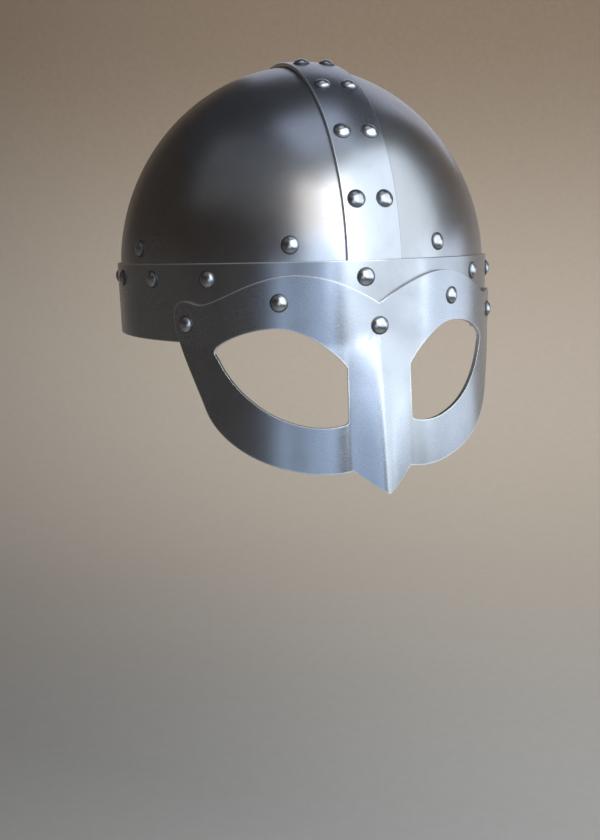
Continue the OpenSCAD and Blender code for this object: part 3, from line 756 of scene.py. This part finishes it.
def spectacle_guard():
    """One plate: a ring round each eye hole, joined along the creased nasal."""
    cols = 4 * LOOP_STEPS
    rows = 14

    def flat(across, up):
        eye = eye_point(across)
        return (eye + (round_loop(OUTLINE, across) - eye) * up) * mm

    bm = bmesh.new()
    for side in (1, -1):
        def turned(across):
            return across if side > 0 else 1 - across

        def spot(across, up):
            p = flat(turned(across), up)
            return on_guard(side * p.x, p.y)

        def chart(across, up):
            p = flat(turned(across), up)
            return side * p.x, p.y

        def edge(across, up):
            at = turned(across)
            inwards = up if at > NOSE_SHARE else min(up, 1 - up)
            return inwards * (flat(at, 0) - flat(at, 1)).length

        lay_grid(bm, cols, rows, spot, chart, edge, pull=(0.0, 0.7))
    weld(bm)
    made = piece("spectacle_guard_iron", bm, GUARD_IRON, "spectacle_guard")
    thicken(made, GUARD_T, edge_r=0.6 * mm)


# Rivets

# What each kind of rivet holds, from under its head to its peened end
BROW_GRIP = BAND_T + LAP + PLATE_T + PEEN_GAP
OVER_CREST = CREST_T + LAP
GUARD_FACE = LAP + GUARD_T
GUARD_GRIP = GUARD_FACE + BROW_GRIP
CREST_GRIP = CREST_T + LAP + PLATE_T + PEEN_GAP
LINING_GRIP = PLATE_T + SOFT_GAP + LEATHER_T + BURR_GAP + BURR_T

# Where the rivets sit, along the brow from the nose line and above the rim
BROW_RIVET_Z = 30.5 * mm
BROW_FIRST = 76.0 * mm
BROW_PITCH = 38.0 * mm
BROW_COUNT = 7
BROW_SHIFT = -5.5 * mm
JOINT_S = HALF_LEN - 6.5 * mm
JOINT_Z = 9.0 * mm
NOSE_Z = 8.2 * mm
GUARD_MID = (45.0 * mm, 19.5 * mm)
GUARD_END = ((GUARD_REACH - 7.5) * mm, 9.2 * mm)
TONGUE_S = [(i + 0.5) * HALF_LEN / TONGUES for i in range(TONGUES)]

# How far each lining rivet sits behind the middle of its tongue, from the front one to the back
LINING_BACK = (-2.5 * mm, 7.5 * mm, 0.0, 0.0)

# The wearer's right and left
SIDES = (-1, 1)

# Roundness of a rivet, and the angle by which each next one is turned, so that no two look alike
HEAD_TURNS = 12
PEEN_TURNS = 6
RIVET_SIDES = 36
BURR_SIDES = 40
RIVET_TURN = 2.4


def step_grip(s):
    """What the step adds to the grip of a rivet."""
    return step_at(s) + PEEN_D / 2 * abs(math.sin(step_lean(s)))


def band_spot(s, z, off):
    """Place of a rivet on the band or guard: the point under its head and the direction out."""
    x, y = plan(s, off + step_at(s))
    turned = facing(s) - step_lean(s)
    return Vector((x, y, z)), Vector((math.sin(turned), -math.cos(turned), 0))


def crest_angles():
    """Angles of the crest's rivet pairs, evenly spaced along the band."""
    # The band's middle line from the top down to the brow, in steps of half a degree
    line = [on_slice(0, math.radians(90 - i / 2), CREST_OUT) for i in range(181)]
    runs = [0.0]
    for a, b in zip(line, line[1:]):
        runs.append(runs[-1] + (b - a).length)
    found = []
    for i in range(CREST_COUNT):
        along = (i - (CREST_COUNT - 1) / 2) * CREST_PITCH - CREST_SHIFT
        at = max(1, next(j for j, run in enumerate(runs) if run >= abs(along)))
        past = (abs(along) - runs[at - 1]) / (runs[at] - runs[at - 1])
        found.append(math.radians(90 - math.copysign((at - 1 + past) / 2, along)))
    return found


def crest_spots(side):
    spots = []
    for angle in crest_angles():
        p = on_slice(side * CREST_GAUGE / 2, angle, CREST_OUT)
        spots.append((p, bowl_normal(p, CREST_OUT)))
    return spots


def lining_spots():
    spots = []
    for s, back in zip(TONGUE_S, LINING_BACK):
        for side in SIDES:
            p = on_bowl(side * (s + back), LINING_Z, PLATE_OUT)
            spots.append((p, bowl_normal(p, PLATE_OUT)))
    return spots


def cap_points(width, height, turns):
    """Profile of a low round cap, from its rim to its top, as pairs of radius and height."""
    ball = (width**2 / 4 + height**2) / (2 * height)
    rim = math.asin(width / 2 / ball)
    angles = [rim * (1 - i / turns) for i in range(turns + 1)]
    return [(ball * math.sin(a), height - ball * (1 - math.cos(a))) for a in angles]


def turned_form(points, steps):
    """A bmesh of a profile of radius and height, spun round Z and closed."""
    bm = bmesh.new()
    chain = [bm.verts.new((r, 0, z)) for r, z in points]
    edges = [bm.edges.new(pair) for pair in zip(chain, chain[1:])]
    bmesh.ops.spin(
        bm, geom=chain + edges, cent=(0, 0, 0), axis=(0, 0, 1), angle=math.tau,
        steps=steps, use_merge=True)
    weld(bm)
    bmesh.ops.recalc_face_normals(bm, faces=bm.faces)
    return bm


def one_rivet(grip):
    """A rivet with its head's underside at z = 0 and its peened end below.

    The head's rim stands up straight, and its underside is tucked in a little.
    """
    rim = 0.25 * mm
    tuck = 0.1 * mm
    # The foot's darkening, dirt and painted shade, starts at this share of the head's radius; the
    # shank and peened end take a fixed share of it
    dirt_and_shade_from = 0.6
    dirt_and_shade_below = 0.6
    head = [(r, max(z, rim)) for r, z in cap_points(HEAD_D, HEAD_H, HEAD_TURNS)]
    peen = [(r, -grip - z) for r, z in cap_points(PEEN_D, PEEN_H, PEEN_TURNS)]
    shank = [(HEAD_D / 2 - tuck, 0), (SHANK_D / 2, 0), (SHANK_D / 2, -grip)]
    bm = turned_form(head[::-1] + shank + peen, RIVET_SIDES)
    wear_dirt_and_light = bm.verts.layers.float.new("edge")
    for v in bm.verts:
        out = math.hypot(v.co.x, v.co.y) / (HEAD_D / 2)
        v[wear_dirt_and_light] = ease((out - dirt_and_shade_from) / (1 - dirt_and_shade_from)) if v.co.z > 0 else dirt_and_shade_below
    return bm


def aimed(spot, turned=0.0):
    """Matrix that stands a rivet on its spot, turned its own way."""
    p, out = spot
    stood = out.to_track_quat("Z", "Y").to_matrix().to_4x4()
    return Matrix.Translation(p) @ stood @ Matrix.Rotation(turned, 4, "Z")


def repeated(bm, form, matrices):
    """Adds a copy of a form at each matrix, and frees the form."""
    template = bpy.data.meshes.new("form")
    form.to_mesh(template)
    form.free()
    for matrix in matrices:
        start = len(bm.verts)
        bm.from_mesh(template)
        bm.verts.ensure_lookup_table()
        bmesh.ops.transform(bm, matrix=matrix, verts=bm.verts[start:])
    bpy.data.meshes.remove(template)


def rivet_group(node, *gripped):
    """One piece for a node's rivets, from pairs of a list of spots and what they grip."""
    bm = bmesh.new()
    for spots, grip in gripped:
        start = len(bm.verts)
        turned = [aimed(spot, RIVET_TURN * (i + start)) for i, spot in enumerate(spots)]
        repeated(bm, one_rivet(grip), turned)
    made = piece(node + "_iron", bm, RIVET_IRON, node)
    made.data.set_sharp_from_angle(angle=SHARP_ANGLE)


def all_rivets():
    rivet_group("crest_rivets_left", (crest_spots(1), CREST_GRIP))
    rivet_group("crest_rivets_right", (crest_spots(-1), CREST_GRIP))
    along = [side * (BROW_FIRST + i * BROW_PITCH) for i in range(BROW_COUNT) for side in SIDES]
    brow = [s + BROW_SHIFT for s in [0.0] + along]
    one_by_one = [([band_spot(s, BROW_RIVET_Z, 0)], BROW_GRIP + step_grip(s)) for s in brow]
    rivet_group("brow_rivets", *one_by_one)
    joint = [band_spot(side * JOINT_S, z, 0) for side in SIDES for z in (JOINT_Z, BROW_RIVET_Z)]
    rivet_group("brow_joint_rivets", (joint, BROW_GRIP + OVER_CREST))
    nose = [band_spot(0, NOSE_Z, GUARD_FACE)]
    rivet_group("guard_nose_rivet", (nose, GUARD_GRIP + OVER_CREST))
    for node, (s, z) in (("guard_brow_rivets", GUARD_MID), ("guard_temple_rivets", GUARD_END)):
        pair = [band_spot(side * s, z, GUARD_FACE) for side in SIDES]
        rivet_group(node, (pair, GUARD_GRIP + step_grip(s)))
    rivet_group("lining_rivets", (lining_spots(), LINING_GRIP))


def lining_burrs():
    """Washers under the lining rivets' peened ends."""
    hole = SHANK_D / 2 + 0.15 * mm
    rim = BURR_D / 2
    soft = 0.2 * mm
    dirt_outside = 0.1
    dirt_inside = 0.8
    points = [
        (hole, 0), (rim - soft, 0), (rim, soft), (rim, BURR_T - soft), (rim - soft, BURR_T),
        (hole + soft, BURR_T), (hole, BURR_T - soft), (hole, 0)]
    form = turned_form(points, BURR_SIDES)
    wear_dirt_and_light = form.verts.layers.float.new("edge")
    for v in form.verts:
        v[wear_dirt_and_light] = dirt_outside if math.hypot(v.co.x, v.co.y) > rim - 2 * soft else dirt_inside
    bm = bmesh.new()
    inwards = Matrix.Translation((0, 0, -LINING_GRIP))
    repeated(bm, form, [aimed(spot) @ inwards for spot in lining_spots()])
    made = piece("lining_burrs_iron", bm, BURR_IRON, "lining_burrs")
    made.data.set_sharp_from_angle(angle=SHARP_ANGLE)


# Lining

# A tongue: the top of its part on the wall, the handles of its rise to the crown, the share of
# the rise over which it narrows and the radius of its foot's corners
WALL_Z = LINING_Z + 7 * mm
RISE_H = 26.0 * mm
RISE_K = 0.72
TAPER_SHARE = 0.7
FOOT_CORNER = 5 * mm

# Its hem round the thong, and the flap sewn back under its tip
CROWN_Z = SPRING_Z + dome_h(PLATE_IN) - CROWN_DROP
HEM_R = THONG_D / 2 + SOFT_GAP + LEATHER_T
HEM_Z = CROWN_Z - HEM_R + 0.3 * mm
TIP_R = RING_R + 0.4 * HEM_R
HEM_END = math.radians(272)
FLAP_LAP = 0.1 * mm
FLAP_AT = 0.84

# Stitches: the row round the sweatband, those of a flap and the crosses at the nape
STITCH_SIZE = (4.0 * mm, 0.9 * mm, 0.8 * mm)
STITCH_Z = (TONGUE_LOW + SWEAT_TOP) / 2
STITCH_PITCH = 5.5 * mm
FLAP_STITCHES = 5
NAPE_CROSSES = 6
NAPE_PITCH = 5.2 * mm


def sweatband():
    """The leather strip round the head, its ends butted at the nape."""
    cols = 320
    rows = 14
    reach = HALF_LEN - 0.5 * mm
    height = SWEAT_TOP - SWEAT_LOW
    deepest = 0.7 * mm

    def spot(across, up):
        s = (2 * across - 1) * reach
        z = SWEAT_LOW + height * up
        slack = noise.noise(Vector((s * 24, up * 1.4, 3.0)))
        return on_bowl(s, z, SWEAT_OUT - deepest * abs(slack) * (1 - up))

    bm = bmesh.new()
    lay_grid(
        bm, cols, rows, spot,
        lambda across, up: (across * 2 * reach, up * height),
        lambda across, up: min(up, 1 - up) * height,
        pull=(0.0, 0.6))
    made = piece("sweatband_leather", bm, SWEAT_LEATHER, "sweatband")
    thicken(made, LEATHER_T, edge_r=0.5 * mm)


def on_rise(s, t):
    """Point of a tongue's outer face where it curves in from the bowl to the crown."""
    k = dome_k(WALL_Z, LINING_OUT)
    lean = dome_k(WALL_Z - 1 * mm, LINING_OUT) - k
    first = (k - RISE_H / mm * lean, WALL_Z + RISE_H)
    points = (k, WALL_Z), first, (RISE_K, CROWN_Z), (TIP_R / HALF_L, CROWN_Z)
    share, z = curve([Vector(q) for q in points], t)
    x, y = plan(s, LINING_OUT)
    way = math.atan2(y, x)
    out = math.hypot(x, y) * share * (1 - t**4) + TIP_R * t**4
    return Vector((out * math.cos(way), out * math.sin(way), z))


def on_tongue(s, v, run):
    """Point of a tongue's outer face: v goes from -1 to 1 over its width.

    The run goes from 0 at the foot to 1 at the wall's top, 2 at the tip, 3 round the thong
    and 4 at the end of the flap that is sewn back under the tip.
    """
    t = min(max(run - 1, 0.0), 1.0)
    width = (FOOT_SHARE + (TIP_SHARE - FOOT_SHARE) * ease(t / TAPER_SHARE)) * HALF_LEN / TONGUES / 2
    at = s + v * width
    if run <= 1:
        inside = max(0.0, FOOT_CORNER - (1 - abs(v)) * width)
        low = TONGUE_LOW + FOOT_CORNER - math.sqrt(FOOT_CORNER**2 - inside**2)
        return on_bowl(at, low + (WALL_Z - low) * run, LINING_OUT)
    if run <= 2:
        return on_rise(at, t)
    x, y, _ = on_rise(at, 1)
    out = Vector((x, y, 0)).normalized()
    start = math.atan2(CROWN_Z - HEM_Z, TIP_R - RING_R)
    angle = start + (HEM_END - start) * min(run - 2, 1)
    rise = Vector((0, 0, HEM_Z + HEM_R * math.sin(angle)))
    round_thong = out * (RING_R + HEM_R * math.cos(angle)) + rise
    if run <= 3:
        return round_thong
    under = on_rise(at, FLAP_AT)
    under.z -= 2 * LEATHER_T + FLAP_LAP
    reach = (under - round_thong).length / 3
    return curve((round_thong, round_thong + out * reach, under - out * reach, under), run - 3)


# Rows of a tongue's grid in each unit of its run
TONGUE_ROWS = [8, 28, 16, 8]
TONGUE_COLS = 28


def tongue(name, s):
    """A leather tongue: riveted to the bowl, curved in and sewn back round the thong."""
    steps = [i + j / rows for i, rows in enumerate(TONGUE_ROWS) for j in range(rows)] + [4.0]
    rows = len(steps) - 1
    slack = 0.5 * mm
    waver = 0.9 * mm
    waver_scale = 38
    loose_from = 1
    loose_to = 1.9
    fade = 0.4
    width = 70 * mm
    foot_rise = 18 * mm
    flap_rise = 9 * mm

    def run_at(up):
        return steps[round(up * rows)]

    def spot(across, up):
        run = run_at(up)
        p = on_tongue(s, 2 * across - 1, run)
        loose = ease((run - loose_from) / fade) * ease((loose_to - run) / fade)
        out = Vector((p.x, p.y, 0.6 * p.z)).normalized()
        return p - out * loose * (slack + waver * noise.noise(p * waver_scale))

    def chart(across, up):
        run = run_at(up)
        return (across - 0.5) * 80 * mm, run * 60 * mm

    def edge(across, up):
        run = run_at(up)
        return min(min(across, 1 - across) * width, run * foot_rise, (4 - run) * flap_rise)

    bm = bmesh.new()
    lay_grid(bm, TONGUE_COLS, rows, spot, chart, edge, pull=(0.7, 0.0))
    made = piece(name + "_leather", bm, TONGUE_LEATHER, name)
    thicken(made, LEATHER_T, edge_r=0.5 * mm)


def all_tongues():
    names = ("front", "temple", "ear", "back")
    for name, s in zip(names, TONGUE_S):
        tongue("tongue_" + name + "_left", s)
        tongue("tongue_" + name + "_right", -s)


def cord_form(bm, path, width, sides, closed):
    """Adds a round cord along a path: a ring at each point, bridged to the next."""
    rings = []
    count = len(path)
    up = Vector((0, 0, 1))
    for i, p in enumerate(path):
        after = path[(i + 1) % count] if closed or i < count - 1 else p
        before = path[i - 1] if closed or i > 0 else p
        along = (after - before).normalized()
        side = along.cross(up).normalized()
        up = side.cross(along).normalized()
        ring = bmesh.ops.create_circle(bm, segments=sides, radius=width / 2)["verts"]
        turned = Matrix((side, up, along)).transposed().to_4x4()
        bmesh.ops.transform(bm, matrix=Matrix.Translation(p) @ turned, verts=ring)
        rings.append([e for v in ring for e in v.link_edges])
    pairs = list(zip(rings, rings[1:]))
    if closed:
        pairs.append((rings[-1], rings[0]))
    for a, b in pairs:
        bmesh.ops.bridge_loops(bm, edges=list(set(a + b)))
    if not closed:
        for ring in (rings[0], rings[-1]):
            bmesh.ops.contextual_create(bm, geom=list(set(ring)))


def crown_thong():
    """The lace through the tongues' hems, whipped with thinner lace at the back."""
    bm = bmesh.new()
    steps = 120
    ring = [
        Vector((RING_R * math.cos(a), RING_R * math.sin(a), HEM_Z))
        for a in (math.tau * i / steps for i in range(steps))]
    cord_form(bm, ring, THONG_D, sides=14, closed=True)
    thin = 1.5 * mm
    wraps = 3
    round_steps = 24
    coil = (THONG_D + thin) / 2
    wound = []
    for i in range(wraps * round_steps + 1):
        turned = math.tau * i / round_steps
        at = math.pi / 2 + (i / (wraps * round_steps) - 0.5) * wraps * thin / RING_R
        out = Vector((math.cos(at), math.sin(at), 0))
        rise = Vector((0, 0, HEM_Z + coil * math.sin(turned)))
        wound.append(out * (RING_R + coil * math.cos(turned)) + rise)
    # The loose ends of the whipping spread, come forward and fall
    for end, way in ((wound[0], 1), (wound[-1], -1)):
        drop = []
        for i in range(1, 10):
            aside = way * 0.9 * mm * i**1.3 / 3
            drop.append(end + Vector((aside, -0.5 * mm * i, -0.11 * mm * i * i)))
        wound = drop[::-1] + wound if way > 0 else wound + drop
    cord_form(bm, wound, thin, sides=10, closed=False)
    bmesh.ops.recalc_face_normals(bm, faces=bm.faces)
    uv = bm.loops.layers.uv.new("chart")
    for face in bm.faces:
        for loop in face.loops:
            p = loop.vert.co
            turned = math.atan2(p.z - HEM_Z, p.xy.length - RING_R)
            loop[uv].uv = (math.atan2(p.y, p.x) * RING_R, turned * THONG_D / 2)
    piece("crown_thong_lace", bm, LACE, "crown_thong")


def laid(p, along, out):
    """Matrix that lays a stitch at a point, along a direction, on a face that looks out."""
    z = out.normalized()
    y = z.cross(along).normalized()
    x = y.cross(z)
    return Matrix.Translation(p) @ Matrix((x, y, z)).transposed().to_4x4()


def all_stitches():
    """The thread: tongues to sweatband, flaps to tongues, and the sweatband's lacing at the nape."""
    up = Vector((0, 0, 1))
    matrices = []
    count = round(2 * HALF_LEN / STITCH_PITCH)
    for i in range(count):
        s = (2 * (i + 0.5) / count - 1) * HALF_LEN
        here = on_bowl(s, STITCH_Z, SWEAT_IN)
        ahead = on_bowl(s * 0.999, STITCH_Z, SWEAT_IN)
        matrices.append(laid(here, here - ahead, -here.xy.to_3d()))
    tip_w = TIP_SHARE * HALF_LEN / TONGUES / 2
    spread = 2.6
    sewn_at = FLAP_AT + 0.035
    below = up * (2 * LEATHER_T + FLAP_LAP + 0.1 * mm)
    for s in [side * s for s in TONGUE_S for side in SIDES]:
        for j in range(FLAP_STITCHES):
            v = (j - (FLAP_STITCHES - 1) / 2) / spread
            top = on_rise(s + v * tip_w, sewn_at)
            along = Vector((-top.y, top.x, 0))
            matrices.append(laid(top, along, up))
            matrices.append(laid(top - below, along, -up))
    for j in range(NAPE_CROSSES):
        nape = on_bowl(HALF_LEN, SWEAT_LOW + (j + 0.7) * NAPE_PITCH, SWEAT_IN)
        for way in SIDES:
            matrices.append(laid(nape, Vector((1, 0, 0.7 * way)), -nape.xy.to_3d()))
    form = bmesh.new()
    bmesh.ops.create_uvsphere(form, u_segments=8, v_segments=6, radius=0.5)
    bmesh.ops.scale(form, vec=STITCH_SIZE, verts=form.verts)
    bm = bmesh.new()
    repeated(bm, form, matrices)
    piece("lining_stitches", bm, THREAD)


# Room

# Floor and wall, round the helmet: height of the floor, radius of its flat part, radius of the
# bend, height of the wall's top, and the steps of the bend and round the room
FLOOR_Z = -0.6
FLAT_R = 1.2
BEND_R = 1.8
WALL_TOP = 2.6
BEND_STEPS = 24
ROOM_SIDES = 72

# The paper goes from pale at the floor to taupe at this height
TAUPE_Z = 0.9
PALE = (0.66, 0.61, 0.55, 1), (0.68, 0.63, 0.57, 1)
TAUPE = (0.34, 0.275, 0.22, 1), (0.36, 0.295, 0.235, 1)

# What the lights look at, and the faint light from all sides
MIDDLE = Vector((0, 0, 0.05))
AMBIENT = (0.80, 0.86, 1.0, 1)
AMBIENT_POWER = 0.05

# The photograph's camera, from the fit of the helmet's outline, edges and rivets to it
CAMERA_AT = (-0.155928, -0.483282, 0.046259)
CAMERA_TURN = (78.34611, 1.48008, -17.90730)
CAMERA_LENS = 36.7714
CAMERA_SENSOR = 36


def studio():
    """A pale floor that curves up into a wall all round."""
    turns = [math.pi / 2 * i / BEND_STEPS for i in range(1, BEND_STEPS + 1)]
    bend = [(FLAT_R + BEND_R * math.sin(a), FLOOR_Z + BEND_R * (1 - math.cos(a))) for a in turns]
    profile = [(0.0, FLOOR_Z), (FLAT_R, FLOOR_Z)] + bend + [(FLAT_R + BEND_R, WALL_TOP)]
    bm = turned_form(profile, ROOM_SIDES)
    bmesh.ops.reverse_faces(bm, faces=bm.faces)
    mesh = bpy.data.meshes.new("studio_floor")
    bm.to_mesh(mesh)
    bm.free()
    mesh.shade_smooth()
    paper = Finish("studio_paper", {"Specular IOR Level": 0.1})
    flecks = paper.place.noise(scale=60.0, detail=4.0, rough=0.6)
    high = paper.place.axis("Z").between(FLOOR_Z, TAUPE_Z)
    pale = flecks.between(0.3, 0.7).blend(*PALE)
    taupe = flecks.between(0.3, 0.7).blend(*TAUPE)
    colour = high.blend(pale, taupe)
    mesh.materials.append(paper.vary(colour, 0.85 + flecks * 0.1, flecks.bump(0.1, 0.2 * mm)))
    floor = bpy.data.objects.new("studio_floor", mesh)
    bpy.context.scene.collection.objects.link(floor)


def soft_light(name, azimuth, elevation, distance, size, power, colour, target=MIDDLE):
    """An area light in a direction given in degrees round from the front, turned to a target."""
    light = bpy.data.lights.new(name, "AREA")
    light.shape = "RECTANGLE"
    light.size, light.size_y = size
    light.energy = power
    light.color = colour
    a = math.radians(azimuth)
    e = math.radians(elevation)
    away = Vector((math.sin(a) * math.cos(e), -math.cos(a) * math.cos(e), math.sin(e)))
    lamp = bpy.data.objects.new(name, light)
    lamp.location = away * distance + MIDDLE
    lamp.rotation_euler = (lamp.location - Vector(target)).to_track_quat("Z", "Y").to_euler()
    lamp.visible_camera = False
    bpy.context.scene.collection.objects.link(lamp)


def lights():
    """The window, its reflections round the room, and a lamp for the wall behind the helmet."""
    soft_light("window", 34, 21, 0.8, (1.28, 1.15), 10.0, (0.79, 0.91, 1.0))
    soft_light("window_side", 79, -5, 0.9, (0.54, 0.40), 1.08, (0.70, 0.84, 1.0))
    soft_light("window_far", 122, 2, 0.9, (0.5, 0.5), 0.05, (0.70, 0.82, 1.0))
    soft_light("window_warm", -10, 32, 0.8, (0.42, 0.46), 1.2, (1.0, 0.95, 0.88))
    soft_light("blue_fill", -7, 8, 0.9, (0.54, 0.38), 1.6, (0.66, 0.80, 1.0))
    soft_light("blue_low", -27, -9, 0.9, (0.40, 0.36), 0.52, (0.54, 0.73, 1.0))
    soft_light("left_fill", -68, 48, 0.9, (0.9, 0.6), 0.2, (0.86, 0.95, 1.0))
    soft_light("rear", 148, 34, 0.9, (0.7, 0.6), 0.85, (0.72, 0.80, 1.0))
    soft_light("overhead", 5, 76, 0.9, (0.5, 0.45), 0.62, (0.66, 0.78, 1.0))
    soft_light("backdrop", 148, 45, 1.5, (2.0, 0.9), 25, (1.0, 0.94, 0.86), (2.1, 2.6, 0.15))
    world = bpy.data.worlds.new("studio")
    world.use_nodes = True
    ambient = world.node_tree.nodes["Background"]
    ambient.inputs["Color"].default_value = AMBIENT
    ambient.inputs["Strength"].default_value = AMBIENT_POWER
    bpy.context.scene.world = world
    bpy.context.scene.view_settings.view_transform = "Standard"


def camera():
    view = bpy.data.cameras.new("camera")
    view.sensor_fit = "VERTICAL"
    view.sensor_height = CAMERA_SENSOR
    view.lens = CAMERA_LENS
    view.clip_start = 0.01
    eye = bpy.data.objects.new("camera", view)
    eye.location = CAMERA_AT
    eye.rotation_euler = [math.radians(a) for a in CAMERA_TURN]
    bpy.context.scene.collection.objects.link(eye)
    bpy.context.scene.camera = eye


camera()
lights()
studio()
dome_plate("dome_plate_left", 1)
dome_plate("dome_plate_right", -1)
crest_band()
brow_band()
spectacle_guard()
all_rivets()
lining_burrs()
sweatband()
all_tongues()
crown_thong()
all_stitches()
